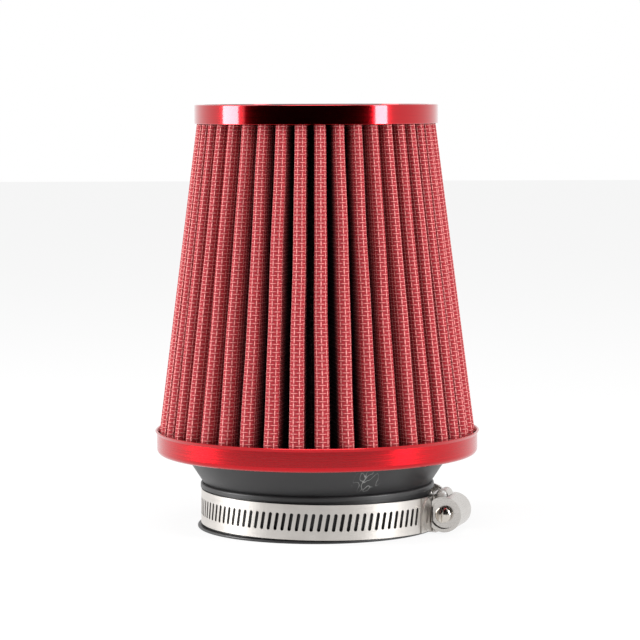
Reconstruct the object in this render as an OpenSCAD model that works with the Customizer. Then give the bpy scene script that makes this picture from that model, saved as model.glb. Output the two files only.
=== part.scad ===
// Cone air filter for an engine intake: a pleated media pack between two moulded
// ends, each end in an anodised ring, with a worm-drive band clamp on the neck.
// Millimetres. Z runs up the axis from the neck's lower face, and the front is -Y.

/* [Overall] */
// Height from the neck's lower face to the top ring's face
filter_h = 156.7; // [130:0.1:190]
// Moulded clearance between a ring and what sits in it
ring_fit = 0.2; // [0.1:0.05:0.4]

/* [Neck] */
// Bore of the neck, the diameter of the intake pipe that it fits
inlet_d = 76; // [70:0.5:77]
// Diameter of the clamp's seat on the neck
seat_d = 84.8; // [83.6:0.1:88]
// Height of the retaining lip at the foot of the neck
lip_h = 1; // [0.9:0.1:3]
// Free height in the seat beside the tilted band
seat_play = 0.3; // [0.2:0.1:2]
// How far the collar above the seat stands out of it
collar_proud = 1.1; // [0.7:0.1:1.4]
// Height of the collar above the seat
collar_h = 1.7; // [1:0.1:3]
// Height of the cone between the collar and the lower ring
cone_h = 10.8; // [8:0.1:16]
// How far the foot of the cone stands in from the collar's edge
cone_step = 1.1; // [0.8:0.1:1.6]
// Diameter of the cone where it meets the underside of the base
cone_top_d = 99; // [94:0.5:106]
// Straight length of the bore, from the lower face
bore_h = 20; // [16:0.5:22]

/* [Lower ring] */
// Outer diameter of the lower ring
lower_ring_d = 119.2; // [116:0.1:130]
// Height of the lower ring
lower_ring_h = 8.7; // [7:0.1:14]
// Radius of the lower ring's bottom corner
lower_ring_round = 1.9; // [0.8:0.1:3]
// How far the lower ring's mouth opens outwards
mouth_flare = 0.6; // [0.1:0.1:1]
// Width of the rim that is turned in under the base
lower_rim_w = 4.6; // [3:0.1:6]

/* [Top ring] */
// Outer diameter of the top ring
top_ring_d = 90; // [86:0.1:100]
// Height of the top ring
top_ring_h = 7; // [5:0.1:12]
// Width of the rim that is turned in over the cap
top_rim_w = 3.4; // [2:0.1:5]
// Radius of the top ring's upper corner
top_ring_round = 0.5; // [0.2:0.1:0.6]
// Sheet thickness of both rings
ring_t = 0.7; // [0.5:0.1:1.2]

/* [Moulded ends] */
// Thickness of the base's flange under the pleats
flange_t = 3; // [2:0.1:5]
// Thickness of the top cap over the pleats
cap_t = 3.5; // [2.5:0.1:5]
// Depth of the dish in the top cap
dish_depth = 1.8; // [0.5:0.1:2]
// Width of the cap's flat border around the dish
border_w = 6; // [3:0.5:12]
// Wall of the rims that locate the pleats' inner folds
locator_t = 0.9; // [0.6:0.1:1]
// Height of those rims
locator_h = 2; // [1:0.1:4]

/* [Pleated media] */
// Number of pleats
pleat_count = 41; // [30:1:44]
// Depth of a pleat, from its tip to its root
pleat_depth = 17.3; // [14:0.1:17.6]
// Thickness of the folded sheet
sheet_t = 1.2; // [0.8:0.05:1.3]
// Share of the pitch that a rounded tip fills
tip_share = 0.57; // [0.5:0.01:0.62]
// Share of the pitch that a rounded root fills
root_share = 0.67; // [0.65:0.01:0.72]
// Clearance between the pleats and what is beside them
pleat_gap = 0.3; // [0.2:0.05:0.5]
// Turn of the pleat pack about the axis, in degrees
pleat_turn = 0.8; // [0:0.1:8]
// How far hand spreading moves the folds off an even pitch, in degrees
pleat_wander = 1.4; // [0:0.1:1.6]

/* [Clamp band] */
// Width of the clamp's band
band_w = 12.7; // [12.6:0.1:14]
// Thickness of the clamp's band
band_t = 0.6; // [0.5:0.05:0.8]
// Radial slack of the open clamp on its seat
clamp_slack = 1.8; // [1:0.1:3]
// Gap left on the side where the slack clamp lies against the seat
hang_gap = 0.35; // [0.2:0.05:0.6]
// Sideways tilt of the slack clamp, in degrees
clamp_tilt = 0.65; // [0:0.05:0.8]
// Turn of the screw housing from the right side towards the front, in degrees
clamp_turn = 18; // [0:1:40]
// Distance between slots along the band
slot_pitch = 2.66; // [2.5:0.01:2.8]
// Length of a slot
slot_l = 6.5; // [5:0.1:7]
// Width of a slot
slot_w = 1.25; // [1.1:0.05:1.5]
// Lean of the slots, in degrees
slot_lean = 9.5; // [5:0.5:11]
// Length of the free end in front of the housing
tail_l = 6; // [4:0.5:16]
// Air between the two layers of band at the overlap
lap_gap = 0.08; // [0.06:0.01:0.2]

/* [Clamp housing] */
// Length of the housing along the band
housing_l = 15; // [14.6:0.1:18]
// Sheet thickness of the housing
housing_t = 0.7; // [0.5:0.05:0.9]
// Wall of the housing's dome
dome_t = 1; // [0.6:0.1:1.2]
// Outer radius of the dome over the worm
dome_r = 6.3; // [6.2:0.1:7]
// How far the bead at the dome's mouth stands out
bead_proud = 0.25; // [0.1:0.05:0.3]
// Sheet thickness of the saddle under the band
saddle_t = 0.5; // [0.4:0.05:0.6]
// Length of the saddle along the band
saddle_l = 13; // [11:0.1:14]
// Clearance between the pieces of the clamp
clamp_fit = 0.05; // [0.03:0.01:0.1]
// Length of each of the saddle's two lower tabs
low_tab_l = 4.4; // [3:0.1:5]
// Radius of the saddle's rolled tab over the dome's shoulder
curl_r = 2.3; // [2.2:0.1:2.6]
// Length of that tab along the band
curl_l = 6; // [4:0.1:9]

/* [Clamp screw] */
// Outer radius of the worm thread
worm_r = 4.4; // [4:0.05:4.6]
// Depth of the worm thread
thread_depth = 0.9; // [0.6:0.05:1.1]
// How deep the thread reaches into the band's slots
thread_bite = 0.35; // [0.2:0.05:0.4]
// Clearance of the thread in a slot
thread_gap = 0.09; // [0.05:0.01:0.1]
// Number of thread turns on the worm
thread_turns = 5; // [3:2:5]
// Radius of the screw's head
head_r = 2.9; // [2.6:0.1:3.2]
// Height of the head's straight side
head_h = 2.1; // [1.5:0.1:3]
// Height of the head's dome
head_dome = 1.1; // [0.6:0.1:1.6]
// Width of the driver slot in the head
driver_w = 0.9; // [0.6:0.1:1.2]
// Depth of the driver slot
driver_depth = 1.3; // [0.8:0.1:1.8]
// Radius of the screw's neck through the housing's front wall
screw_neck_r = 2.2; // [1.8:0.1:2.4]
// Running clearance around the neck and behind the head
screw_gap = 0.25; // [0.15:0.05:0.3]

/* [Hidden] */
$fn = 180;
RED = "#b80d1c";
BLACK = "#1c1c1e";
STEEL = "#c9c7c4";

// Small allowances and corner radii
lip_gap = 0.3;
lip_rest = 0.2;
lip_round = 0.4;
foot_gap = 0.2;
mouth_out = 0.5;
wall_in = 1.1;
plug_below = 0.2;
lap_start = 1.5;
wall_below = 0.3;
roll_start = 0.05;

// Radii of the neck
inlet_r = inlet_d / 2;
seat_r = seat_d / 2;
collar_r = seat_r + collar_proud;

// Band: its open loop, its overlap and where they meet, seen from the clamp's centre
band_in_r = seat_r + clamp_slack;
lap_lift = band_t + lap_gap;
lap_in_r = band_in_r + lap_lift;
lap_out_r = lap_in_r + band_t;
clamp_shift = clamp_slack - hang_gap;
lift_half = 20;
lift_k = lap_lift / (2 * (1 - cos(lift_half)));
fixed_end_a = deg_of(housing_l / 2, band_in_r) - 1;
lap_a = fixed_end_a + lap_start;
lift_mid_a = lap_a + lift_half;
lift_a = lift_mid_a + lift_half;
mouth_y = housing_l / 2 + mouth_out;
tail_a = -deg_of(mouth_y + tail_l, lap_in_r);
tail_round_a = tail_a + deg_of(band_w / 2, lap_in_r);
lap_mid_r = lap_in_r + band_t / 2;
band_mid_r = band_in_r + band_t / 2;

// Saddle: inside and out, and how far it stands out above and below the band
saddle_in_r = band_in_r - clamp_fit - saddle_t;
saddle_half_w = band_w / 2 + clamp_fit + saddle_t;
saddle_a = deg_of(saddle_l / 2, band_in_r);
foot_in_r = lap_out_r + foot_gap;
foot_out_r = foot_in_r + housing_t;
foot_half_w = band_w / 2;
tab_in_r = foot_out_r + clamp_fit;
tab_out_r = tab_in_r + saddle_t;

// Worm
worm_axis_r = lap_out_r + worm_r - thread_bite;
dome_in_r = dome_r - dome_t;
tab_reach = sqrt(dome_r ^ 2 - (worm_axis_r - tab_out_r) ^ 2) + 0.1;
bite_half = sqrt(worm_r ^ 2 - (worm_axis_r - lap_out_r) ^ 2);
crest_w = slot_w - 2 * (bite_half * tan(slot_lean) + thread_gap);
wall_front_y = mouth_y - wall_in;
head_back_y = wall_front_y + screw_gap;

// The lip stands as far out as the slack clamp's saddle beside it leaves room for
lip_r = saddle_in_r + clamp_shift * cos(clamp_turn + saddle_a) - lip_gap;

// The band lies on the lip at the front, where its circle crosses the lip's edge
cross_x = clamp_shift / 2 + (lip_r ^ 2 - band_in_r ^ 2) / (2 * clamp_shift);
rest_z = lip_h + lip_rest + band_w / 2 * cos(clamp_tilt);
clamp_z = rest_z + (cross_x - clamp_shift) * sin(clamp_tilt);
seat_h = band_w + 2 * (lap_out_r + clamp_slack) * sin(clamp_tilt) + seat_play;
collar_z = lip_h + seat_h;
cone_z = collar_z + collar_h;
base_z = cone_z + cone_h;

// Rings, and the levels between which the pleats stand
lower_ring_r = lower_ring_d / 2;
lower_in_r = lower_ring_r - ring_t;
lower_rim_r = lower_ring_r - lower_rim_w;
top_ring_r = top_ring_d / 2;
top_in_r = top_ring_r - ring_t;
top_rim_r = top_ring_r - top_rim_w;
floor_z = base_z + ring_t + flange_t;
cap_top_z = filter_h - ring_t;
ceiling_z = cap_top_z - cap_t;
ring_top_z = base_z + lower_ring_h;
top_ring_z = filter_h - top_ring_h;

// Pleats: tip and root radii at both ends, and the rims that hold the inner folds
low_tip_r = lower_in_r - pleat_gap;
top_tip_r = top_in_r - pleat_gap;
base_locator_r = low_tip_r - pleat_depth - pleat_gap;
cap_locator_r = top_tip_r - pleat_depth - pleat_gap;
bell_rise = floor_z + locator_h - bore_h;
bell_out = base_locator_r - locator_t - inlet_r;
bell_r = (bell_rise ^ 2 + bell_out ^ 2) / (2 * bell_out);

// Angle in degrees that a chord of length l takes at radius r
function deg_of(l, r) = asin(l / r);

// Points of an arc, from angle a0 to a1
function arc_pts(cx, cy, r, a0, a1, n) = [
  for (i = [0:n])
    let (a = a0 + (a1 - a0) * i / n) [cx + r * cos(a), cy + r * sin(a)]
];

// Unit vector at angle a
function unit(a) = [cos(a), sin(a)];

// Moulded neck, cone and base flange in one piece

// Section of the base, from the bore's lower edge up its inside and down its outside
function neck_section() =
  let (edge = 0.6)
  concat(
    [[inlet_r + edge, 0], [inlet_r, edge]],
    arc_pts(inlet_r + bell_r, bore_h, bell_r, 180, 180 - asin(bell_rise / bell_r), 8),
    [
      [base_locator_r, floor_z + locator_h],
      [base_locator_r, floor_z],
      [lower_in_r - ring_fit, floor_z],
      [lower_in_r - ring_fit, base_z + ring_t],
      [lower_rim_r - ring_fit, base_z + ring_t],
      [lower_rim_r - ring_fit, base_z]
    ],
    cone_side(),
    arc_pts(collar_r - edge, cone_z - edge, edge, 90, 0, 4),
    [[collar_r, collar_z], [seat_r, collar_z], [seat_r, lip_h]],
    arc_pts(lip_r - lip_round, lip_h - lip_round, lip_round, 90, 0, 3),
    arc_pts(lip_r - lip_round, lip_round, lip_round, 0, -90, 3)
  );

// The cone's outer side, with a fillet under the base and one on the collar
function cone_side() =
  let (
    low = [collar_r - cone_step, cone_z],
    top = [cone_top_d / 2, base_z],
    lean = atan2(top[0] - low[0], top[1] - low[1]),
    fillet = 2.5,
    cut = fillet * tan((90 - lean) / 2),
    side = (top - low) / norm(top - low)
  )
  concat(
    arc_pts(top[0] + cut, base_z - fillet, fillet, 90, 180 - lean, 5),
    [low + side * 0.6, low]
  );

module neck_base() {
  color(BLACK)
  rotate_extrude()
  polygon(neck_section());
}

// Moulded top cap with a shallow dish

function cap_section() =
  let (
    plug_r = top_rim_r - ring_fit,
    plug_z = filter_h - plug_below,
    dish_r = plug_r - border_w,
    dish_z = plug_z - dish_depth,
    round = 0.8
  )
  concat(
    [
      [0, ceiling_z],
      [cap_locator_r - locator_t, ceiling_z],
      [cap_locator_r - locator_t, ceiling_z - locator_h],
      [cap_locator_r, ceiling_z - locator_h],
      [cap_locator_r, ceiling_z],
      [top_in_r - ring_fit, ceiling_z],
      [top_in_r - ring_fit, cap_top_z],
      [plug_r, cap_top_z]
    ],
    arc_pts(plug_r - 0.3, plug_z - 0.3, 0.3, 0, 90, 3),
    arc_pts(dish_r + round, plug_z - round, round, 90, 150, 4),
    arc_pts(dish_r - dish_depth - round, dish_z + round, round, -30, -90, 4),
    [[0, dish_z]]
  );

module top_cap() {
  color(BLACK)
  rotate_extrude()
  polygon(cap_section());
}

// Rings: thin spun sheet, each with one edge turned in

module lower_ring() {
  r = lower_ring_r;
  round = lower_ring_round;
  inner_round = max(round - ring_t, 0.1);
  flare_h = 1.2;
  section = concat(
    [[lower_rim_r, base_z + ring_t], [lower_rim_r, base_z]],
    arc_pts(r - round, base_z + round, round, -90, 0, 8),
    [
      [r, ring_top_z - flare_h],
      [r + mouth_flare, ring_top_z - 0.2],
      [r + mouth_flare - 0.2, ring_top_z],
      [r + mouth_flare - ring_t, ring_top_z],
      [lower_in_r, ring_top_z - flare_h],
      [lower_in_r, base_z + round + 0.1]
    ],
    [[lower_in_r, base_z + ring_t + 0.1], [lower_in_r - 0.1, base_z + ring_t]]
  );
  color(RED)
  rotate_extrude()
  polygon(section);
}

module top_ring() {
  r = top_ring_r;
  round = top_ring_round;
  section = concat(
    [[top_in_r, top_ring_z], [r - 0.15, top_ring_z], [r, top_ring_z + 0.15]],
    arc_pts(r - round, filter_h - round, round, 0, 90, 5),
    [[top_rim_r, filter_h], [top_rim_r, cap_top_z], [top_in_r, cap_top_z]]
  );
  color(RED)
  rotate_extrude()
  polygon(section);
}

// Pleated media: one sheet folded into pleats, lofted between four levels

// Angle of a fold, counted from the front towards the right; halves are roots
function fold_a(i) =
  let (even = 360 * i / pleat_count)
  pleat_turn + even + pleat_wander * sin(3 * even + 45);

// Direction in plan of the angle a, counted from the front towards the right
function plan(a) = [sin(a), -cos(a)];

// Pitch angle between tips either side of fold i
function pitch_a(i) = (fold_a(i + 0.5) - fold_a(i - 0.5));

// Levels of the loft, each with the radius of the pleat tips
LEVELS = [
  [floor_z, low_tip_r],
  [ring_top_z - 0.4, low_tip_r],
  [top_ring_z + 0.4, top_tip_r],
  [ceiling_z, top_tip_r]
];
TIP_STEPS = 6;
ROOT_STEPS = 3;

// Centre line radius of a fold that fills a share of the pitch at radius r
function fold_r(share, r, i) = share * r * PI / 180 * pitch_a(i) / 2 - sheet_t / 2;

// Centres of the tip at i, and of the root at i + side / 2, at a level's tip radius
function tip_c(i, tip_r) = plan(fold_a(i)) * (tip_r - sheet_t / 2 - fold_r(tip_share, tip_r, i));
function root_c(i, tip_r) =
  let (r = tip_r - pleat_depth)
  plan(fold_a(i)) * (r + sheet_t / 2 + fold_r(root_share, r + sheet_t, i));

// Bearing of the flank's normal at the tip i, on the side of the root at i + side / 2
function flank_a(i, side, tip_r) =
  let (
    tip = tip_c(i, tip_r),
    root = root_c(i + side / 2, tip_r),
    across = root - tip,
    sum = fold_r(tip_share, tip_r, i)
      + fold_r(root_share, tip_r - pleat_depth + sheet_t, i + side / 2)
  )
  atan2(across[1], across[0]) - side * acos(sum / norm(across));

// One face of the sheet around pleat i: its tip, then the root after it.
// off is half the sheet's thickness for the outer face and minus that for the inner.
function pleat_pts(i, tip_r, off) =
  let (
    tip = tip_c(i, tip_r),
    root = root_c(i + 0.5, tip_r),
    tip_bend = fold_r(tip_share, tip_r, i) + off,
    root_bend = fold_r(root_share, tip_r - pleat_depth + sheet_t, i + 0.5) - off,
    before = flank_a(i, -1, tip_r),
    after = near(flank_a(i, 1, tip_r), before),
    root_from = flank_a(i, 1, tip_r) + 180,
    root_to = near_below(flank_a(i + 1, -1, tip_r) + 180, root_from)
  )
  concat(
    arc_pts(tip[0], tip[1], tip_bend, before, after, TIP_STEPS),
    arc_pts(root[0], root[1], root_bend, root_from, root_to, ROOT_STEPS)
  );

// The same bearing as a, brought into the turn that follows or precedes b
function near(a, b) = a - 360 * floor((a - b) / 360);
function near_below(a, b) = a - 360 * ceil((a - b) / 360);

// One closed loop of the sheet at a level
function sheet_loop(level, off) = [
  for (i = [0:pleat_count - 1])
    for (p = pleat_pts(i, level[1], off)) [p[0], p[1], level[0]]
];

module pleated_media() {
  n = pleat_count * (TIP_STEPS + ROOT_STEPS + 2);
  top = len(LEVELS) - 1;
  inner = n * (top + 1);
  points = concat(
    [for (level = LEVELS) each sheet_loop(level, sheet_t / 2)],
    [for (level = LEVELS) each sheet_loop(level, -sheet_t / 2)]
  );
  sides = [
    for (k = [0:top - 1])
      for (i = [0:n - 1])
        let (j = (i + 1) % n, a = k * n, b = a + n)
        each [
          [a + i, b + i, b + j],
          [a + i, b + j, a + j],
          [inner + a + j, inner + b + j, inner + b + i],
          [inner + a + j, inner + b + i, inner + a + i]
        ]
  ];
  ends = [
    for (i = [0:n - 1])
      let (j = (i + 1) % n, t = top * n)
      each [
        [j, inner + j, inner + i],
        [j, inner + i, i],
        [t + i, inner + t + i, inner + t + j],
        [t + i, inner + t + j, t + j]
      ]
  ];
  color("#7d1620")
  polyhedron(points, concat(sides, ends));
}

// Clamp: drawn about its own centre, with the worm at +X and its head towards -Y

module in_clamp_place() {
  translate([clamp_shift, 0, clamp_z])
  rotate([0, clamp_tilt, 0])
  rotate([0, 0, -clamp_turn])
  children();
}

// The band's middle line, from the worm backwards round the neck: the overlap, the two
// arcs that bring it down, then the loop. Each stretch is [length, centre, radius, angle].
ARC = PI / 180;
STRETCHES = [
  [lap_a * ARC * lap_mid_r, [0, 0], lap_mid_r, 0],
  [lift_half * ARC * (lap_mid_r - lift_k), unit(lap_a) * lift_k, lap_mid_r - lift_k, lap_a],
  [
    lift_half * ARC * (band_mid_r + lift_k), -unit(lift_a) * lift_k, band_mid_r + lift_k,
    lift_mid_a
  ],
  [(360 + fixed_end_a - lift_a) * ARC * band_mid_r, [0, 0], band_mid_r, lift_a]
];

// Centre, radius and bearing of the middle line at the distance s from the worm
function strip_at(s, k = 0, from = 0) =
  k < 3 && s > from + STRETCHES[k][0]
    ? strip_at(s, k + 1, from + STRETCHES[k][0])
    : [STRETCHES[k][1], STRETCHES[k][2], STRETCHES[k][3] + (s - from) / STRETCHES[k][2] / ARC];

// Point of the band's outline there, off outside the middle line
function strip_pt(s, off) = let (at = strip_at(s)) at[0] + unit(at[2]) * (at[1] + off);

tail_s = tail_a * ARC * lap_mid_r;
loop_s = STRETCHES[0][0] + STRETCHES[1][0] + STRETCHES[2][0];
fixed_end_s = loop_s + STRETCHES[3][0];
STEPS = 200;
STATIONS = [for (i = [0:STEPS]) tail_s + (fixed_end_s - tail_s) * i / STEPS];

// The first and last slots, counted from the one at the worm
first_slot = -floor((-tail_s - slot_w - 2) / slot_pitch);
last_slot = floor((loop_s + (360 + tail_a - 2 - lift_a) * ARC * band_mid_r) / slot_pitch);

// Cutter of one slot, no deeper than the air beside the band
module slot_cutter(s) {
  at = strip_at(s);
  depth = band_t + lap_gap;
  straight = slot_l - slot_w;
  translate([at[0][0], at[0][1], 0])
  rotate([0, 0, at[2]])
  translate([at[1] - depth / 2, 0, 0])
  rotate([-slot_lean, 0, 0])
  rotate([0, 90, 0])
  linear_extrude(height = depth)
  union() {
    square([straight, slot_w], center = true);
    translate([straight / 2, 0])
    circle(d = slot_w, $fn = 32);
    translate([-straight / 2, 0])
    circle(d = slot_w, $fn = 32);
  }
}

// What rounds the free end off to half the band's width
module tail_corners() {
  rotate([0, 0, tail_round_a])
  translate([lap_in_r - lap_gap / 2, -band_w, 0])
  rotate([0, 90, 0])
  difference() {
    translate([-band_w, -band_w, 0])
    cube([2 * band_w, 2 * band_w, band_t + lap_gap + 1]);
    translate([0, band_w, -1])
    cylinder(d = band_w, h = band_t + lap_gap + 3);
  }
}

module clamp_band() {
  outer = [for (s = STATIONS) strip_pt(s, band_t / 2)];
  inner = [for (i = [STEPS:-1:0]) strip_pt(STATIONS[i], -band_t / 2)];
  color(STEEL)
  in_clamp_place()
  difference() {
    translate([0, 0, -band_w / 2])
    linear_extrude(height = band_w)
    polygon(concat(outer, inner));
    tail_corners();
    for (k = [first_slot:last_slot]) slot_cutter(k * slot_pitch);
  }
}

// Sector about the clamp's axis, between bearings a0 and a1, of a section in r and z
module swept(a0, a1) {
  rotate([0, 0, a0])
  rotate_extrude(angle = a1 - a0)
  children();
}

// Saddle: a channel under the band. Its walls are bent over the housing's feet: at both
// ends of the lower one, and rolled high over the dome in the middle of the upper one.
module clamp_saddle() {
  wall_top_r = foot_in_r - wall_below;
  low_tab_a = deg_of(low_tab_l, band_in_r);
  curl_a = deg_of(curl_l / 2, band_in_r);
  far_a = saddle_a + 2;
  color(STEEL)
  in_clamp_place()
  difference() {
    swept(-saddle_a, saddle_a)
    polygon(saddle_section(wall_top_r));
    swept(low_tab_a - saddle_a, saddle_a - low_tab_a)
    translate([wall_top_r, -saddle_half_w - 1])
    square([tab_out_r - wall_top_r + 1, saddle_half_w - tab_reach + 2]);
    for (side = [0, 1])
      swept(side > 0 ? curl_a : -far_a, side > 0 ? far_a : -curl_a)
      translate([wall_top_r, saddle_half_w - saddle_t - 1])
      square([2 * curl_r + 2, saddle_t + curl_r + 2]);
  }
}

// Section of the saddle with its lower tab and its rolled upper tab, walls cut at r0 elsewhere
function saddle_section(r0) =
  let (
    h = saddle_half_w,
    t = saddle_t,
    mid_r = r0 + sqrt(curl_r ^ 2 - t ^ 2) + roll_start,
    end_a = asin(max(0, dome_r + 2 * clamp_fit - h + t) / (curl_r - t))
  )
  concat(
    [[saddle_in_r, -h], [tab_out_r, -h], [tab_out_r, -tab_reach], [tab_in_r, -tab_reach]],
    [[tab_in_r, t - h], [saddle_in_r + t, t - h], [saddle_in_r + t, h - t]],
    arc_pts(mid_r, h - t, curl_r - t, 180, end_a, 10),
    arc_pts(mid_r, h - t, curl_r, end_a, 180 - asin(t / curl_r), 10),
    [[saddle_in_r, h]]
  );

// Housing: a dome over the worm on two feet, with a wall behind the screw's head
module clamp_housing() {
  color(STEEL)
  in_clamp_place()
  difference() {
    union() {
      translate([worm_axis_r, 0, 0])
      rotate([90, 0, 0])
      translate([0, 0, -housing_l / 2])
      linear_extrude(height = housing_l / 2 + mouth_y)
      dome_section(dome_r, dome_in_r);
      translate([worm_axis_r, 1 - mouth_y, 0])
      rotate([90, 0, 0])
      linear_extrude(height = 1)
      dome_section(dome_r + bead_proud, dome_in_r);
      translate([worm_axis_r, housing_t - wall_front_y, 0])
      rotate([90, 0, 0])
      linear_extrude(height = housing_t)
      dome_section(dome_r - dome_t / 2, screw_neck_r + screw_gap);
      for (side = [-1, 1])
        swept(-deg_of(mouth_y - 1, foot_in_r), deg_of(housing_l / 2, foot_in_r))
        translate([foot_in_r, side > 0 ? foot_side_z() : -foot_half_w])
        square([housing_t, foot_half_w - foot_side_z()]);
    }
    translate([0, 0, -dome_r - 1])
    cylinder(r = foot_in_r, h = 2 * dome_r + 2);
  }
}

// Where a foot starts, under the dome's wall
function foot_side_z() = sqrt(dome_in_r ^ 2 - (worm_axis_r - foot_out_r) ^ 2) + dome_t / 3;

// Arch about the worm's axis, which the foot's inner face then cuts open
module dome_section(r_out, r_in) {
  difference() {
    circle(r = r_out);
    circle(r = r_in);
  }
}

// Screw: head, neck and a worm whose turns lie in the band's slots

// Section of the worm in radius and height, with one crest for each turn
function worm_section() =
  let (
    root_r = worm_r - thread_depth,
    half_base = crest_w / 2 + thread_depth * tan(15),
    reach = (thread_turns - 1) / 2,
    end = reach * slot_pitch + half_base
  )
  concat(
    [[0, -end - 1.1], [root_r - 1.4, -end - 1.1], [root_r - 1, -end - 0.7]],
    [[root_r - 1, -end], [root_r, -end]],
    [
      for (k = [-reach:reach])
        each [
          [root_r, k * slot_pitch - half_base],
          [worm_r, k * slot_pitch - crest_w / 2],
          [worm_r, k * slot_pitch + crest_w / 2],
          [root_r, k * slot_pitch + half_base]
        ]
    ],
    [[screw_neck_r, end], [0, end]]
  );

// Section of the neck and the domed head
function head_section() =
  let (
    top = head_back_y + head_h,
    cap_r = (head_r ^ 2 + head_dome ^ 2) / (2 * head_dome)
  )
  concat(
    [[0, 0], [screw_neck_r, 0], [screw_neck_r, head_back_y], [head_r, head_back_y]],
    arc_pts(0, top + head_dome - cap_r, cap_r, acos(head_r / cap_r), 90, 6)
  );

module clamp_screw() {
  tip_y = head_back_y + head_h + head_dome;
  color("#d9d2c4")
  in_clamp_place()
  translate([worm_axis_r, 0, 0])
  rotate([90, 0, 0])
  difference() {
    union() {
      rotate_extrude()
      polygon(worm_section());
      rotate_extrude()
      polygon(head_section());
    }
    translate([-driver_w / 2, -head_r - 1, tip_y - driver_depth])
    cube([driver_w, 2 * head_r + 2, driver_depth + 1]);
  }
}

neck_base();
top_cap();
lower_ring();
top_ring();
pleated_media();
clamp_band();
clamp_saddle();
clamp_housing();
clamp_screw();
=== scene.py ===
"""Cone air filter: its looks, its studio and its camera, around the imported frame.

Lengths are in metres, Z runs up the filter's axis and the front is -Y.
"""
import logging
import math
from contextlib import contextmanager
from dataclasses import dataclass
from enum import Enum
from typing import Any, Callable, Iterator

import bpy
from mathutils import Matrix, Vector


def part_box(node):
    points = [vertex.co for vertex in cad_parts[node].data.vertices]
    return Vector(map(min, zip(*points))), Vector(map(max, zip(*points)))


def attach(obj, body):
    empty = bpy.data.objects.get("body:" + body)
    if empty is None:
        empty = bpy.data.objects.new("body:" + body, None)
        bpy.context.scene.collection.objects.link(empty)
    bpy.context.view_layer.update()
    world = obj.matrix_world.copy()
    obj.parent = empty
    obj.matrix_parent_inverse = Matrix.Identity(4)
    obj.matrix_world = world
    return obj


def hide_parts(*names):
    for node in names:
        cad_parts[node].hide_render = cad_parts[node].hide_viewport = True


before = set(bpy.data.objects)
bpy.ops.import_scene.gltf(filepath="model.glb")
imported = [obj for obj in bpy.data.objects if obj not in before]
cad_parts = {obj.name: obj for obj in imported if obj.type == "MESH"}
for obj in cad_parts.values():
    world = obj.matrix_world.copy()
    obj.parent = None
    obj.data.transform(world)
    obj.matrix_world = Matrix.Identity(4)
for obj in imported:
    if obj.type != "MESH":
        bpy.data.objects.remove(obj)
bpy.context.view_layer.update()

MM = 0.001
Colour = tuple[float, float, float, float]
Plan = tuple[float, float]
log = logging.getLogger("filter")


class Body(Enum):
    """The bodies of the frame that the new pieces ride on."""

    FILTER = "filter"
    SCREW = "screw"


def linear(hex_code: str) -> Colour:
    """Turns an sRGB hex value into the linear colour that a shader wants.

    Args:
        hex_code: six hex digits after a hash.

    Returns:
        Red, green, blue and an alpha of 1.
    """
    parts = [int(hex_code[i : i + 2], 16) / 255 for i in (1, 3, 5)]
    red, green, blue = (
        p / 12.92 if p <= 0.04045 else ((p + 0.055) / 1.055) ** 2.4 for p in parts
    )
    return (red, green, blue, 1.0)


def add_node(
    tree: bpy.types.NodeTree,
    kind: str,
    inputs: dict[Any, Any] | None = None,
    **settings: Any,
) -> bpy.types.Node:
    """Adds a shader node with its settings, values and links.

    Args:
        tree: the material's or the world's node tree.
        kind: the node's type, without its ShaderNode prefix.
        inputs: socket names or numbers, each with a value or a socket to link from.
        **settings: properties of the node itself.

    Returns:
        The new node.
    """
    made = tree.nodes.new("ShaderNode" + kind)
    for key, value in settings.items():
        setattr(made, key, value)
    for key, value in (inputs or {}).items():
        if isinstance(value, bpy.types.NodeSocket):
            tree.links.new(value, made.inputs[key])
        else:
            made.inputs[key].default_value = value
    return made


def bare_material(name: str) -> tuple[bpy.types.Material, bpy.types.NodeTree]:
    """Makes a node material whose tree is still empty."""
    made = bpy.data.materials.new(name)
    made.use_nodes = True
    made.node_tree.nodes.clear()
    return made, made.node_tree


def new_material(name: str, **shading: Any) -> tuple[bpy.types.Material, bpy.types.Node]:
    """Makes a node material with a Principled shader on its output.

    Args:
        name: what the real material is called.
        **shading: the shader's constant sockets, with underscores for spaces.

    Returns:
        The material and its shader.
    """
    made, tree = bare_material(name)
    constants = {key.replace("_", " "): value for key, value in shading.items()}
    shader = add_node(tree, "BsdfPrincipled", constants)
    add_node(tree, "OutputMaterial", {"Surface": shader.outputs["BSDF"]})
    return made, shader


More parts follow.
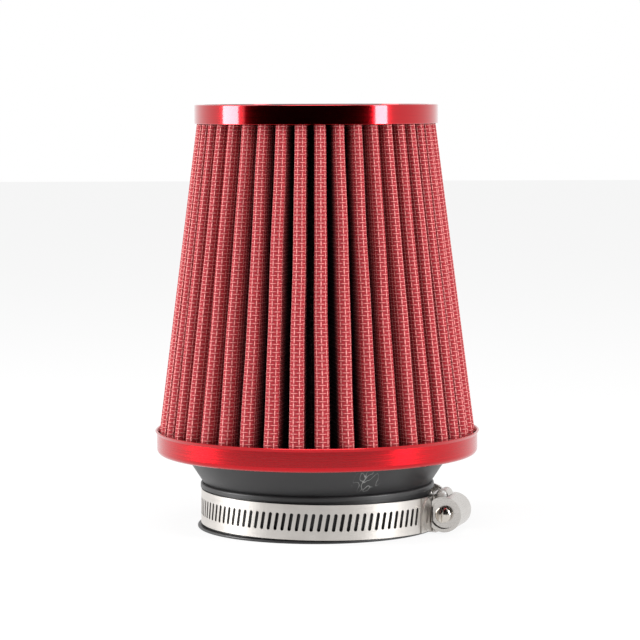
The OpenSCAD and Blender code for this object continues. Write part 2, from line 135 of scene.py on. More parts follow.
@dataclass(frozen=True)
class AnodisedAluminium:
    """Spun aluminium with a red dyed oxide layer.

    The dyed layer colours what the metal reflects, and its clear top gives a white glint.
    Brushing leaves fine lines that run round the ring.
    """

    name: str
    dye: str = "#d3081a"
    shade: str = "#8f0512"
    roughness: float = 0.22
    line_mm: float = 0.25
    run_mm: float = 22.0
    bump_um: float = 6.0
    coat: float = 0.5

    def make(self) -> bpy.types.Material:
        """Builds the material: colour, gloss and relief all follow the brushed lines."""
        made, shader = new_material(
            self.name, Metallic=1.0, Coat_Weight=self.coat, Coat_Roughness=0.08
        )
        tree = made.node_tree
        place = add_node(tree, "TexCoord")
        along = 1 / (self.run_mm * MM)
        stretched = add_node(
            tree,
            "Mapping",
            {"Vector": place.outputs["Object"], "Scale": (along, along, 1 / (self.line_mm * MM))},
        )
        lines = add_node(
            tree,
            "TexNoise",
            {"Vector": stretched.outputs[0], "Scale": 1.0, "Detail": 4.0, "Roughness": 0.62},
        )
        dyed = add_node(
            tree,
            "Mix",
            {0: lines.outputs[0], 6: linear(self.shade), 7: linear(self.dye)},
            data_type="RGBA",
        )
        deepened = add_node(
            tree,
            "Mix",
            {0: 0.55, 6: linear(self.dye), 7: dyed.outputs[2]},
            data_type="RGBA",
        )
        gloss = add_node(
            tree,
            "MapRange",
            {
                "Value": lines.outputs[0],
                "From Min": 0.3,
                "From Max": 0.7,
                "To Min": self.roughness * 0.8,
                "To Max": self.roughness * 1.25,
            },
        )
        relief = add_node(
            tree,
            "Bump",
            {"Height": lines.outputs[0], "Distance": self.bump_um * 1e-6, "Strength": 1.0},
        )
        tree.links.new(deepened.outputs[2], shader.inputs["Base Color"])
        tree.links.new(gloss.outputs[0], shader.inputs["Roughness"])
        tree.links.new(relief.outputs[0], shader.inputs["Normal"])
        return made


@dataclass(frozen=True)
class MouldedRubber:
    """Black polyurethane rubber cast in a smooth mould.

    It is satin, with a faint grain and the light hairline scratches of handling.
    """

    name: str = "moulded polyurethane rubber"
    colour: str = "#1b1b1c"
    bloom: str = "#2a2a2b"
    roughness: float = 0.4
    patches_per_m: float = 60.0
    grains_per_m: float = 2600.0
    scratches_per_m: tuple[float, float, float] = (330.0, 330.0, 95.0)
    scratch_lean: float = 28.0
    scratch_tone: str = "#8c8e8c"
    scratch_at: tuple[float, float, float] = (0.0178, -0.0425, 0.0225)
    scratch_reach: float = 0.0062

    def make(self) -> bpy.types.Material:
        """Builds the material, with its scratches gathered where the cone was rubbed."""
        made, shader = new_material(self.name, Specular_IOR_Level=0.5)
        tree = made.node_tree
        place = add_node(tree, "TexCoord")
        patches = add_node(
            tree,
            "TexNoise",
            {
                "Vector": place.outputs["Object"],
                "Scale": self.patches_per_m,
                "Detail": 5.0,
                "Roughness": 0.6,
            },
        )
        grain = add_node(
            tree,
            "TexNoise",
            {"Vector": place.outputs["Object"], "Scale": self.grains_per_m, "Detail": 3.0},
        )
        tone = add_node(
            tree,
            "Mix",
            {0: patches.outputs[0], 6: linear(self.colour), 7: linear(self.bloom)},
            data_type="RGBA",
        )
        gloss = add_node(
            tree,
            "MapRange",
            {
                "Value": patches.outputs[0],
                "From Min": 0.3,
                "From Max": 0.7,
                "To Min": self.roughness - 0.05,
                "To Max": self.roughness + 0.08,
            },
        )
        # a hairline lies where a slowly changing noise crosses its middle value
        slanted = add_node(
            tree,
            "Mapping",
            {
                "Vector": place.outputs["Object"],
                "Rotation": (0.0, math.radians(self.scratch_lean), 0.0),
                "Scale": self.scratches_per_m,
            },
        )
        swirl = add_node(
            tree, "TexNoise", {"Vector": slanted.outputs[0], "Scale": 1.0, "Detail": 0.5}
        )
        offset = add_node(
            tree, "Math", {0: swirl.outputs[0], 1: 0.5}, operation="SUBTRACT"
        )
        distance = add_node(tree, "Math", {0: offset.outputs[0]}, operation="ABSOLUTE")
        hairline = add_node(
            tree,
            "MapRange",
            {
                "Value": distance.outputs[0],
                "From Min": 0.016,
                "From Max": 0.004,
                "To Min": 0.0,
                "To Max": 1.0,
            },
        )
        away = add_node(
            tree,
            "VectorMath",
            {0: place.outputs["Object"], 1: self.scratch_at},
            operation="DISTANCE",
        )
        nearby = add_node(
            tree,
            "MapRange",
            {
                "Value": away.outputs["Value"],
                "From Min": self.scratch_reach,
                "From Max": self.scratch_reach * 0.45,
                "To Min": 0.0,
                "To Max": 0.75,
            },
        )
        scratch = add_node(
            tree,
            "Math",
            {0: hairline.outputs[0], 1: nearby.outputs[0]},
            operation="MULTIPLY",
        )
        marked = add_node(
            tree,
            "Mix",
            {0: scratch.outputs[0], 6: tone.outputs[2], 7: linear(self.scratch_tone)},
            data_type="RGBA",
        )
        relief = add_node(
            tree,
            "Bump",
            {"Height": grain.outputs[0], "Distance": 0.00003, "Strength": 0.5},
        )
        tree.links.new(marked.outputs[2], shader.inputs["Base Color"])
        tree.links.new(gloss.outputs[0], shader.inputs["Roughness"])
        tree.links.new(relief.outputs[0], shader.inputs["Normal"])
        return made


@dataclass(frozen=True)
class MeshedGauze:
    """Oiled cotton gauze, dyed red, pressed between two layers of woven wire mesh.

    The wires stand proud and catch the light; their pale pink colour is partly their own lighter
    tone and partly a painted highlight.
    The gauze in the cells between them stays dark. Towards the folds' depths the colour is mixed
    almost to black, as painted shade.
    """

    name: str = "oiled cotton gauze under woven wire mesh"
    gauze: str = "#6d0a14"
    thread: str = "#a8202c"
    # the wires' pale pink is partly their own lighter tone and partly a painted highlight
    wire: str = "#e08a86"
    # painted shade: the near-black colour given to the folds' depths
    fold_shade: str = "#12060a"
    fibres_per_m: float = 900.0
    pitch_mm: float = 1.42
    wire_mm: float = 0.36

    def make(self) -> bpy.types.Material:
        """Builds the weave on the sheet's own map, which counts millimetres."""
        made, shader = new_material(self.name, Specular_IOR_Level=0.4)
        tree = made.node_tree
        sheet = add_node(tree, "UVMap", uv_map="sheet")
        axes = add_node(tree, "SeparateXYZ", {0: sheet.outputs[0]})
        ridges, swings = [], []
        for axis in (0, 1):
            away = add_node(
                tree,
                "Math",
                {0: axes.outputs[axis], 1: self.pitch_mm / 2},
                operation="PINGPONG",
            )
            ridges.append(
                add_node(
                    tree,
                    "MapRange",
                    {
                        "Value": away.outputs[0],
                        "From Min": self.wire_mm,
                        "From Max": 0.0,
                        "To Min": 0.0,
                        "To Max": 1.0,
                    },
                    interpolation_type="SMOOTHSTEP",
                )
            )
            turn = add_node(
                tree,
                "Math",
                {0: axes.outputs[axis], 1: math.pi / self.pitch_mm},
                operation="MULTIPLY",
            )
            swings.append(add_node(tree, "Math", {0: turn.outputs[0]}, operation="COSINE"))
        over = add_node(
            tree,
            "Math",
            {0: swings[0].outputs[0], 1: swings[1].outputs[0]},
            operation="MULTIPLY",
        )
        heights = []
        for ridge, side in zip(ridges, (0.3, -0.3)):
            lift = add_node(
                tree,
                "Math",
                {0: over.outputs[0], 1: side, 2: 0.7},
                operation="MULTIPLY_ADD",
            )
            heights.append(
                add_node(
                    tree,
                    "Math",
                    {0: ridge.outputs[0], 1: lift.outputs[0]},
                    operation="MULTIPLY",
                )
            )
        wires = add_node(
            tree,
            "Math",
            {0: heights[0].outputs[0], 1: heights[1].outputs[0]},
            operation="MAXIMUM",
        )
        place = add_node(tree, "TexCoord")
        fibres = add_node(
            tree,
            "TexNoise",
            {
                "Vector": place.outputs["Object"],
                "Scale": self.fibres_per_m,
                "Detail": 4.0,
                "Roughness": 0.7,
            },
        )
        cloth = add_node(
            tree,
            "Mix",
            {0: fibres.outputs[0], 6: linear(self.gauze), 7: linear(self.thread)},
            data_type="RGBA",
        )
        strand = add_node(
            tree,
            "MapRange",
            {
                "Value": wires.outputs[0],
                "From Min": 0.35,
                "From Max": 0.8,
                "To Min": 0.0,
                "To Max": 0.9,
            },
        )
        # pale wire colour on the wire mask: partly the wires' own tone, partly a painted
        # highlight
        faced = add_node(
            tree,
            "Mix",
            {0: strand.outputs[0], 6: cloth.outputs[2], 7: linear(self.wire)},
            data_type="RGBA",
        )
        # painted shade: towards the folds' depths the colour is mixed almost to black, standing
        # in for the shade between the pleats
        fold = add_node(tree, "Attribute", attribute_name="fold_depth")
        oiled = add_node(
            tree,
            "MapRange",
            {
                "Value": fold.outputs["Fac"],
                "From Min": 0.1,
                "From Max": 0.5,
                "To Min": 0.0,
                "To Max": 0.96,
            },
        )
        fold_shaded = add_node(
            tree,
            "Mix",
            {0: oiled.outputs[0], 6: faced.outputs[2], 7: linear(self.fold_shade)},
            data_type="RGBA",
        )
        gloss = add_node(
            tree,
            "MapRange",
            {"Value": wires.outputs[0], "To Min": 0.85, "To Max": 0.34},
        )
        relief = add_node(
            tree,
            "Bump",
            {"Height": wires.outputs[0], "Distance": 0.00028, "Strength": 1.0},
        )
        tree.links.new(fold_shaded.outputs[2], shader.inputs["Base Color"])
        tree.links.new(gloss.outputs[0], shader.inputs["Roughness"])
        tree.links.new(relief.outputs[0], shader.inputs["Normal"])
        return made


@dataclass(frozen=True)
class RolledSteel:
    """Stainless strip, rolled bright, with fine lines along its length."""

    name: str = "rolled stainless steel strip"
    colour: str = "#d8d4cf"
    stain: str = "#c2bdb8"
    stains_per_m: float = 160.0
    roughness: float = 0.34
    line_mm: float = 0.12
    bump_um: float = 2.5

    def make(self) -> bpy.types.Material:
        """Builds the material: pale metal, streaked along the strip."""
        made, shader = new_material(self.name, Metallic=1.0)
        tree = made.node_tree
        place = add_node(tree, "TexCoord")
        stretched = add_node(
            tree,
            "Mapping",
            {"Vector": place.outputs["Object"], "Scale": (60.0, 60.0, 1 / (self.line_mm * MM))},
        )
        lines = add_node(
            tree,
            "TexNoise",
            {"Vector": stretched.outputs[0], "Scale": 1.0, "Detail": 3.0, "Roughness": 0.6},
        )
        stains = add_node(
            tree,
            "TexNoise",
            {"Vector": place.outputs["Object"], "Scale": self.stains_per_m, "Detail": 4.0},
        )
        tone = add_node(
            tree,
            "Mix",
            {0: stains.outputs[0], 6: linear(self.stain), 7: linear(self.colour)},
            data_type="RGBA",
        )
        gloss = add_node(
            tree,
            "MapRange",
            {
                "Value": lines.outputs[0],
                "From Min": 0.3,
                "From Max": 0.7,
                "To Min": self.roughness - 0.07,
                "To Max": self.roughness + 0.09,
            },
        )
        relief = add_node(
            tree,
            "Bump",
            {"Height": lines.outputs[0], "Distance": self.bump_um * 1e-6, "Strength": 1.0},
        )
        tree.links.new(tone.outputs[2], shader.inputs["Base Color"])
        tree.links.new(gloss.outputs[0], shader.inputs["Roughness"])
        tree.links.new(relief.outputs[0], shader.inputs["Normal"])
        return made


def deselect_all() -> None:
    """Leaves object mode with nothing selected."""
    if bpy.context.object and bpy.context.object.mode != "OBJECT":
        bpy.ops.object.mode_set(mode="OBJECT")
    bpy.ops.object.select_all(action="DESELECT")


def take(piece: bpy.types.Object) -> None:
    """Selects one piece alone and makes it the active one."""
    deselect_all()
    piece.select_set(True)
    bpy.context.view_layer.objects.active = piece


@contextmanager
def editing(piece: bpy.types.Object, mode: str = "VERT") -> Iterator[bpy.types.Mesh]:
    """Opens edit mode on one piece, with nothing in it selected, and closes it after.

    Args:
        piece: the object to edit.
        mode: what is selected, VERT, EDGE or FACE.

    Yields:
        The piece's mesh.
    """
    take(piece)
    bpy.ops.object.mode_set(mode="EDIT")
    bpy.ops.mesh.select_mode(type=mode)
    bpy.ops.mesh.select_all(action="DESELECT")
    yield piece.data
    bpy.ops.object.mode_set(mode="OBJECT")


def select_faces(piece: bpy.types.Object, wanted: Callable[[Any], bool]) -> int:
    """Selects the faces that a test wants, from within edit mode.

    Args:
        piece: the object in edit mode.
        wanted: takes a face and says whether it is selected.

    Returns:
        How many faces were selected.
    """
    bpy.ops.object.mode_set(mode="OBJECT")
    hits = 0
    for face in piece.data.polygons:
        face.select = bool(wanted(face))
        hits += face.select
    bpy.ops.object.mode_set(mode="EDIT")
    return hits


def apply_modifier(piece: bpy.types.Object, kind: str, **settings: Any) -> None:
    """Adds a modifier, sets it up and applies it.

    Args:
        piece: the object that takes the modifier.
        kind: the modifier's type.
        **settings: its properties.
    """
    take(piece)
    made = piece.modifiers.new(kind.title(), kind)
    for key, value in settings.items():
        setattr(made, key, value)
    bpy.ops.object.modifier_apply(modifier=made.name)


def settle(piece: bpy.types.Object, place: Matrix) -> None:
    """Puts a finished piece in its place, in its mesh, with its object at the origin."""
    piece.data.transform(place @ piece.matrix_world)
    piece.matrix_world = Matrix.Identity(4)


def smooth(piece: bpy.types.Object, degrees: float = 35.0) -> None:
    """Shades a piece smooth, except across edges sharper than the angle."""
    take(piece)
    bpy.ops.object.shade_smooth_by_angle(angle=math.radians(degrees))


def finish_with(piece: bpy.types.Object, material: bpy.types.Material) -> None:
    """Gives every face of a piece one material."""
    piece.data.materials.clear()
    piece.data.materials.append(material)


def lathe(name: str, profile: list[Plan], sides: int = 64) -> bpy.types.Object:
    """Turns a profile into a closed solid, ring by ring.

    Args:
        name: the piece's name.
        profile: radius and height of each ring, from the bottom up, in millimetres.
        sides: how many sides a ring has.

    Returns:
        The solid, standing on the Z axis.
    """
    deselect_all()
    radius, height = profile[0]
    bpy.ops.mesh.primitive_circle_add(
        vertices=sides, radius=radius * MM, fill_type="NGON", location=(0, 0, height * MM)
    )
    piece = bpy.context.object
    piece.name = name
    bpy.ops.object.transform_apply(location=True, rotation=True, scale=True)
    with editing(piece, "FACE"):
        bpy.ops.mesh.select_all(action="SELECT")
        for next_radius, next_height in profile[1:]:
            step = (next_height - height) * MM
            bpy.ops.mesh.extrude_region_move(TRANSFORM_OT_translate={"value": (0, 0, step)})
            ratio = next_radius / radius
            bpy.ops.transform.resize(
                value=(ratio, ratio, 1), center_override=(0, 0, next_height * MM)
            )
            radius, height = next_radius, next_height
        bpy.ops.mesh.select_all(action="SELECT")
        bpy.ops.mesh.normals_make_consistent(inside=False)
    return piece


@dataclass
class PleatedMedia:
    """One folded sheet, closed into a ring that tapers towards the top. In millimetres."""

    pleats: int = 41
    depth: float = 17.3
    sheet: float = 1.2
    tip_share: float = 0.57
    root_share: float = 0.67
    turn: float = 0.8
    wander: float = 1.4
    low_tip_r: float = 58.6
    top_tip_r: float = 44.0
    taper_from: float = 35.9
    taper_to: float = 150.1
    tip_steps: int = 9
    flank_steps: int = 3
    root_steps: int = 4
    rows: int = 40
    wobble: float = 0.3
    weld: float = 0.02

    def fold_angle(self, count: float) -> float:
        """Angle of a fold in radians, from the front to the right; halves are roots."""
        even = math.tau * count / self.pleats
        swing = self.wander * math.sin(3 * even + math.radians(45))
        return math.radians(self.turn + swing) + even

    def pitch(self, count: float) -> float:
        """Angle between the folds on either side of this one, in radians."""
        return self.fold_angle(count + 0.5) - self.fold_angle(count - 0.5)

    def bend_radius(self, share: float, radius: float, count: float) -> float:
        """Radius of a fold that fills a share of the pitch there."""
        return share * radius * self.pitch(count) / 2 - self.sheet / 2

    def centre(self, count: float, tip_r: float) -> tuple[Vector, float]:
        """Centre and radius of a fold, a tip at a whole count and a root at a half."""
        way = self.fold_angle(count)
        towards = Vector((math.sin(way), -math.cos(way)))
        if count == round(count):
            bend = self.bend_radius(self.tip_share, tip_r, count)
            return towards * (tip_r - self.sheet / 2 - bend), bend
        inner = tip_r - self.depth
        bend = self.bend_radius(self.root_share, inner + self.sheet, count)
        return towards * (inner + self.sheet / 2 + bend), bend

    def flank(self, count: int, side: int, tip_r: float) -> float:
        """Bearing of the flank's normal between a tip and the root beside it."""
        tip, tip_bend = self.centre(count, tip_r)
        root, root_bend = self.centre(count + side / 2, tip_r)
        across = root - tip
        lean = math.acos((tip_bend + root_bend) / across.length)
        return math.atan2(across.y, across.x) - side * lean

    def pleat_line(self, count: int, tip_r: float) -> list[tuple[Plan, float]]:
        """Middle line of one pleat, from its tip's start to the root after it.

        Args:
            count: which pleat.
            tip_r: radius of the tips at this height.

        Returns:
            Points in plan, each with how deep it lies in the fold, from 0 to 1.
        """
        tip, tip_bend = self.centre(count, tip_r)
        root, root_bend = self.centre(count + 0.5, tip_r)
        start, stop = self.flank(count, -1, tip_r), self.flank(count, 1, tip_r)
        stop -= math.tau * math.floor((stop - start) / math.tau)
        back = self.flank(count, 1, tip_r) + math.pi
        fore = self.flank(count + 1, -1, tip_r) + math.pi
        fore -= math.tau * math.ceil((fore - back) / math.tau)
        arcs = []
        for middle, bend, first, last, steps in (
            (tip, tip_bend, start, stop, self.tip_steps),
            (root, root_bend, back, fore, self.root_steps),
        ):
            turns = [first + (last - first) * k / steps for k in range(steps + 1)]
            arcs.append([middle + bend * Vector((math.cos(a), math.sin(a))) for a in turns])
        after, after_bend = self.centre(count + 1, tip_r)
        landing = self.flank(count + 1, -1, tip_r)
        next_point = after + after_bend * Vector((math.cos(landing), math.sin(landing)))
        points = list(arcs[0])
        points += self.between(arcs[0][-1], arcs[1][0])
        points += arcs[1]
        points += self.between(arcs[1][-1], next_point)
        return [
            ((p.x, p.y), min(max((tip_r - p.length) / self.depth, 0.0), 1.0)) for p in points
        ]

    def between(self, start: Vector, stop: Vector) -> list[Vector]:
        """Points that divide a flank, without its two ends."""
        parts = self.flank_steps + 1
        return [start.lerp(stop, k / parts) for k in range(1, parts)]

    def tip_radius(self, height: float) -> float:
        """Radius of the tips at a height: straight inside the rings, tapered between."""
        share = (height - self.taper_from) / (self.taper_to - self.taper_from)
        share = min(max(share, 0.0), 1.0)
        return self.low_tip_r + (self.top_tip_r - self.low_tip_r) * share

    def sway(self, count: int, height: float) -> float:
        """Sideways drift of a tip in millimetres, as hand-spread pleats have."""
        share = (height - self.taper_from) / (self.taper_to - self.taper_from)
        ends = max(math.sin(math.pi * min(max(share, 0.0), 1.0)), 0.0) ** 0.5
        first = math.sin(height / 19.0 + count * 2.4)
        second = math.sin(height / 7.3 + count * 4.1)
        return self.wobble * ends * (0.7 * first + 0.3 * second)

    def build(self) -> bpy.types.Object:
        """Lays the sheet flat as a grid, folds it, closes it and gives it its thickness."""
        low, high = (corner.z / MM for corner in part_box("pleated_media"))
        per_pleat = self.tip_steps + self.root_steps + 2 + 2 * self.flank_steps
        columns = self.pleats * per_pleat
        deselect_all()
        bpy.ops.mesh.primitive_grid_add(
            x_subdivisions=columns, y_subdivisions=self.rows, size=2.0
        )
        piece = bpy.context.object
        piece.name = "pleated_media_folded"
        mesh = piece.data
        cells = [
            (round((v.co.x + 1) / 2 * columns), round((v.co.y + 1) / 2 * self.rows))
            for v in mesh.vertices
        ]
        heights = [low + (high - low) * row / self.rows for row in range(self.rows + 1)]
        lines = []
        for height in heights:
            tip_r = self.tip_radius(height)
            line = [p for k in range(self.pleats) for p in self.pleat_line(k, tip_r)]
            lines.append(line + line[:1])
        middle = lines[self.rows // 2]
        run = [0.0]
        for (a, _), (b, _) in zip(middle, middle[1:]):
            run.append(run[-1] + math.dist(a, b))
        depths = mesh.attributes.new("fold_depth", "FLOAT", "POINT")
        for vertex, (column, row) in zip(mesh.vertices, cells):
            (x, y), deep = lines[row][column]
            radius = math.hypot(x, y)
            drift = self.sway((column % columns) // per_pleat, heights[row]) * (1 - deep) ** 2
            vertex.co = (
                (x - y / radius * drift) * MM,
                (y + x / radius * drift) * MM,
                heights[row] * MM,
            )
            depths.data[vertex.index].value = deep
        sheet = mesh.uv_layers[0]
        sheet.name = "sheet"
        for loop in mesh.loops:
            column, row = cells[loop.vertex_index]
            sheet.data[loop.index].uv = (run[column], heights[row])
        with editing(piece):
            bpy.ops.mesh.select_all(action="SELECT")
            bpy.ops.mesh.remove_doubles(threshold=self.weld * MM)
            bpy.ops.mesh.normals_make_consistent(inside=False)
        apply_modifier(
            piece, "SOLIDIFY", thickness=self.sheet * MM, offset=0.0, use_even_offset=True
        )
        smooth(piece, 60.0)
        log.info("pleated media: %d pleats, %d faces", self.pleats, len(mesh.polygons))
        return piece

    def dress(self, piece: bpy.types.Object) -> None:
        """Gives the sheet its gauze and wire, and puts it in the CAD sheet's place."""
        finish_with(piece, MeshedGauze().make())
        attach(piece, Body.FILTER.value)
        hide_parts("pleated_media")


@dataclass
class EndRings:
    """The two anodised rings, brushed at the foot and bright at the top."""

    def dress(self) -> None:
        """Finishes both rings of the frame."""
        lower = AnodisedAluminium("brushed red anodised aluminium", roughness=0.25)
        upper = AnodisedAluminium(
            "bright red anodised aluminium",
            roughness=0.13,
            line_mm=0.4,
            bump_um=1.0,
            coat=0.8,
        )
        finish_with(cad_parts["lower_ring"], lower.make())
        finish_with(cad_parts["top_ring"], upper.make())
        log.info("end rings: brushed below, bright above")


@dataclass
class MouldedEnds:
    """The rubber base with its neck, and the rubber cap."""

    def dress(self) -> None:
        """Finishes both mouldings of the frame."""
        rubber = MouldedRubber().make()
        for name in ("neck_base", "top_cap"):
            finish_with(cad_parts[name], rubber)
        log.info("moulded ends: neck and cap")


@dataclass
class BandClamp:
    """The worm-drive clamp that hangs slack round the neck. In millimetres and degrees."""

    shift: float = 1.45
    height: float = 7.697
    tilt: float = 0.65
    turn: float = 18.0
    worm_axis_r: float = 49.53
    worm_r: float = 4.0
    worm_root_r: float = 3.4
    pitch: float = 2.66
    turns: int = 4
    head_r: float = 2.9
    head_back: float = 7.15
    head_h: float = 2.1
    dome_h: float = 1.1
    dome_steps: int = 8
    stem_r: float = 2.2
    tail: tuple[Plan, ...] = ((1.6, -6.9), (2.2, -6.5), (2.4, -5.9))
    worm_span: Plan = (-5.7, 5.6)
    stem_rise: float = 0.2
    slot_size: tuple[float, float, float] = (0.9, 8.0, 2.6)
    edge: float = 0.09
    thread_foot: float = 0.62
    thread_crest: float = 0.26
    thread_sunk: float = 0.2

    def place(self) -> Matrix:
        """From the clamp's own frame, worm at +X and head towards -Y, to the filter's."""
        return (
            Matrix.Translation((self.shift * MM, 0, self.height * MM))
            @ Matrix.Rotation(math.radians(self.tilt), 4, "Y")
            @ Matrix.Rotation(math.radians(-self.turn), 4, "Z")
        )

    def screw_place(self) -> Matrix:
        """From the screw's own frame, its head up Z, to the filter's."""
        return (
            self.place()
            @ Matrix.Translation((self.worm_axis_r * MM, 0, 0))
            @ Matrix.Rotation(math.radians(90), 4, "X")
        )

    def build_screw(self) -> bpy.types.Object:
        """Turns the screw, cuts its driver slot and winds its thread."""
        back, top = self.head_back, self.head_back + self.head_h
        worm_foot, worm_head = self.worm_span
        dome_r = (self.head_r**2 + self.dome_h**2) / (2 * self.dome_h)
        profile = [
            *self.tail,
            (self.worm_root_r, worm_foot),
            (self.worm_root_r, worm_head),
            (self.stem_r, worm_head + self.stem_rise),
            (self.stem_r, back),
            (self.head_r - 0.15, back),
            (self.head_r, back + 0.15),
            (self.head_r, top - 0.1),
        ]
        crown = top + self.dome_h
        for k in range(1, self.dome_steps + 1):
            reach = self.head_r * (1 - k / (self.dome_steps + 0.6))
            profile.append((reach, crown - dome_r + math.sqrt(dome_r**2 - reach**2)))
        piece = lathe("clamp_screw_turned", profile, 72)
        deselect_all()
        bpy.ops.mesh.primitive_cube_add(size=1, location=(0, 0, crown * MM))
        cutter = bpy.context.object
        cutter.scale = [side * MM for side in self.slot_size]
        bpy.ops.object.transform_apply(location=True, rotation=True, scale=True)
        apply_modifier(piece, "BOOLEAN", operation="DIFFERENCE", object=cutter, solver="EXACT")
        bpy.data.objects.remove(cutter)
        apply_modifier(
            piece,
            "BEVEL",
            width=self.edge * MM,
            segments=2,
            limit_method="ANGLE",
            angle_limit=math.radians(40),
        )
        thread = self.build_thread()
        take(piece)
        thread.select_set(True)
        bpy.ops.object.join()
        smooth(piece, 38.0)
        settle(piece, self.screw_place())
        return piece

    def build_thread(self) -> bpy.types.Object:
        """Winds the worm's thread as one helical ridge with closed ends."""
        deselect_all()
        bpy.ops.mesh.primitive_plane_add(size=2)
        piece = bpy.context.object
        piece.name = "worm_thread"
        start = -self.turns / 2 * self.pitch
        foot_r = self.worm_root_r - self.thread_sunk
        corners = [
            (foot_r, -self.thread_foot),
            (self.worm_r, -self.thread_crest),
            (self.worm_r, self.thread_crest),
            (foot_r, self.thread_foot),
        ]
        order = sorted(piece.data.vertices, key=lambda v: math.atan2(v.co.y, v.co.x))
        for vertex, (radius, along) in zip(order, corners):
            vertex.co = (radius * MM, 0, (start + along) * MM)
        with editing(piece, "FACE"):
            bpy.ops.mesh.select_all(action="SELECT")
            bpy.ops.mesh.delete(type="ONLY_FACE")
        apply_modifier(
            piece,
            "SCREW",
            angle=math.tau,
            screw_offset=self.pitch * MM,
            iterations=self.turns,
            steps=48,
            render_steps=48,
            use_smooth_shade=True,
        )
        with editing(piece, "EDGE"):
            bpy.ops.mesh.select_non_manifold()
            bpy.ops.mesh.fill()
            bpy.ops.mesh.select_all(action="SELECT")
            bpy.ops.mesh.normals_make_consistent(inside=False)
        return piece

    def dress(self, screw: bpy.types.Object) -> None:
        """Finishes the strip, the saddle and the housing, and seats the screw."""
        strip = RolledSteel().make()
        pressed = RolledSteel(
            "pressed stainless steel", colour="#cfccc8", roughness=0.24, bump_um=1.0
        ).make()
        finish_with(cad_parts["clamp_band"], strip)
        finish_with(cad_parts["clamp_saddle"], pressed)
        finish_with(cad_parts["clamp_housing"], pressed)
        finish_with(
            screw,
            RolledSteel(
                "zinc plated steel", colour="#e4dccf", roughness=0.17, bump_um=0.5
            ).make(),
        )
        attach(screw, Body.SCREW.value)
        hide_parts("clamp_screw")
        log.info("band clamp: strip, saddle, housing and screw")


@dataclass(frozen=True)
class Softbox:
    """One rectangular lamp, aimed at the middle of the filter."""

    name: str
    azimuth: float
    distance: float
    height: float
    size: Plan
    watts: float
    aim_height: float = 0.08

    def build(self) -> bpy.types.Object:
        """Hangs the lamp, azimuth counted from the front to the right, in degrees."""
        way = math.radians(self.azimuth)
        lamp = bpy.data.lights.new(self.name, "AREA")
        lamp.shape = "RECTANGLE"
        lamp.size, lamp.size_y = self.size
        lamp.energy = self.watts
        held = bpy.data.objects.new(self.name, lamp)
        bpy.context.scene.collection.objects.link(held)
        held.location = (
            self.distance * math.sin(way),
            -self.distance * math.cos(way),
            self.height,
        )
        aim = Vector((0, 0, self.aim_height)) - held.location
        held.rotation_euler = aim.to_track_quat("-Z", "Y").to_euler()
        held.visible_camera = False
        return held


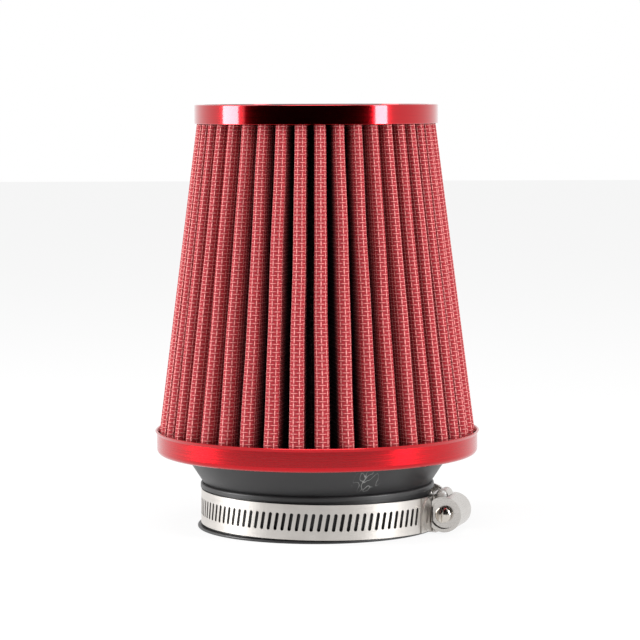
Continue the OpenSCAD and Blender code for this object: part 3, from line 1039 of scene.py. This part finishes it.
@dataclass
class Studio:
    """White table and backdrop, soft lamps left and right, and a dark card in front."""

    lamps: tuple[Softbox, ...] = (
        Softbox("left softbox", -86.0, 0.95, 0.30, (0.34, 0.9), 16.0),
        Softbox("right softbox", 62.0, 0.95, 0.32, (0.22, 0.8), 11.0),
        Softbox("top softbox", 0.0, 0.35, 1.1, (0.8, 0.8), 7.0),
    )
    card_r: float = 0.33
    card_from: float = -66.0
    card_to: float = 50.0
    card_h: float = 0.9
    card_lift: float = 0.002
    table_side: float = 8.0
    table_glow: float = 0.86
    ambient: float = 0.45

    def seen(self, tree: bpy.types.NodeTree) -> bpy.types.NodeSocket:
        """1 for rays that show the backdrop: from the camera, off gloss or through."""
        path = add_node(tree, "LightPath")
        first = add_node(
            tree,
            "Math",
            {0: path.outputs["Is Camera Ray"], 1: path.outputs["Is Glossy Ray"]},
            operation="MAXIMUM",
        )
        both = add_node(
            tree,
            "Math",
            {0: first.outputs[0], 1: path.outputs["Is Transmission Ray"]},
            operation="MAXIMUM",
        )
        return both.outputs[0]

    def build_world(self) -> None:
        """Sets a world that shows white and lights softly."""
        world = bpy.data.worlds.new("white studio")
        bpy.context.scene.world = world
        world.use_nodes = True
        tree = world.node_tree
        tree.nodes.clear()
        level = add_node(
            tree,
            "MapRange",
            {"Value": self.seen(tree), "To Min": self.ambient, "To Max": 1.0},
        )
        light = add_node(
            tree, "Background", {"Color": (1, 1, 1, 1), "Strength": level.outputs[0]}
        )
        add_node(tree, "OutputWorld", {"Surface": light.outputs[0]})

    def build_table(self) -> None:
        """Lays a white table that keeps a faint shadow of the filter."""
        deselect_all()
        bpy.ops.mesh.primitive_plane_add(size=self.table_side, location=(0, 0, 0))
        table = bpy.context.object
        table.name = "table"
        made, tree = bare_material("white card")
        matt = add_node(tree, "BsdfDiffuse", {"Color": linear("#f2f2f2")})
        white = add_node(tree, "Emission", {"Color": (1, 1, 1, 1), "Strength": 1.0})
        share = add_node(
            tree, "Math", {0: self.seen(tree), 1: self.table_glow}, operation="MULTIPLY"
        )
        mixed = add_node(
            tree,
            "MixShader",
            {0: share.outputs[0], 1: matt.outputs[0], 2: white.outputs[0]},
        )
        add_node(tree, "OutputMaterial", {"Surface": mixed.outputs[0]})
        finish_with(table, made)

    def build_card(self) -> None:
        """Stands a dark card in front, which only reflections show."""
        deselect_all()
        bpy.ops.mesh.primitive_cylinder_add(
            vertices=120,
            radius=self.card_r,
            depth=self.card_h,
            end_fill_type="NOTHING",
            location=(0, 0, self.card_h / 2 + self.card_lift),
        )
        card = bpy.context.object
        card.name = "dark_card"

        def outside(face: Any) -> bool:
            way = math.degrees(math.atan2(face.center.x, -face.center.y))
            return not self.card_from <= way <= self.card_to

        with editing(card, "FACE"):
            if select_faces(card, outside):
                bpy.ops.mesh.delete(type="FACE")
        made, tree = bare_material("black card")
        matt = add_node(tree, "BsdfDiffuse", {"Color": linear("#0c0c0c")})
        add_node(tree, "OutputMaterial", {"Surface": matt.outputs[0]})
        finish_with(card, made)
        for ray in ("camera", "diffuse", "transmission", "volume_scatter", "shadow"):
            setattr(card, f"visible_{ray}", False)

    def build(self) -> None:
        """Sets up the whole studio."""
        self.build_world()
        self.build_table()
        self.build_card()
        for lamp in self.lamps:
            lamp.build()
        bpy.context.scene.view_settings.view_transform = "Standard"
        log.info("studio: %d lamps, a table and a card", len(self.lamps))


@dataclass(frozen=True)
class PhotoCamera:
    """The camera, fitted to the rings, the lip and the band. In metres and degrees."""

    lens_mm: float = 153.28
    distance: float = 1.009
    height: float = 0.1608
    pitch: float = 4.76
    yaw: float = -0.067
    roll: float = 0.18

    def build(self) -> None:
        """Sets up the camera and makes it the scene's own."""
        data = bpy.data.cameras.new("camera")
        data.lens = self.lens_mm
        data.sensor_width = 36.0
        data.clip_start = 0.01
        held = bpy.data.objects.new("camera", data)
        bpy.context.scene.collection.objects.link(held)
        held.matrix_world = (
            Matrix.Translation((0, -self.distance, self.height))
            @ Matrix.Rotation(math.radians(self.yaw), 4, "Z")
            @ Matrix.Rotation(math.radians(90 - self.pitch), 4, "X")
            @ Matrix.Rotation(math.radians(-self.roll), 4, "Z")
        )
        bpy.context.scene.camera = held


def main() -> None:
    """Builds the camera, the studio and each sub-assembly, in order."""
    logging.basicConfig(level=logging.INFO, format="%(name)s: %(message)s")
    PhotoCamera().build()
    Studio().build()
    MouldedEnds().dress()
    EndRings().dress()
    media = PleatedMedia()
    media.dress(media.build())
    clamp = BandClamp()
    clamp.dress(clamp.build_screw())


if __name__ == "__main__":
    main()
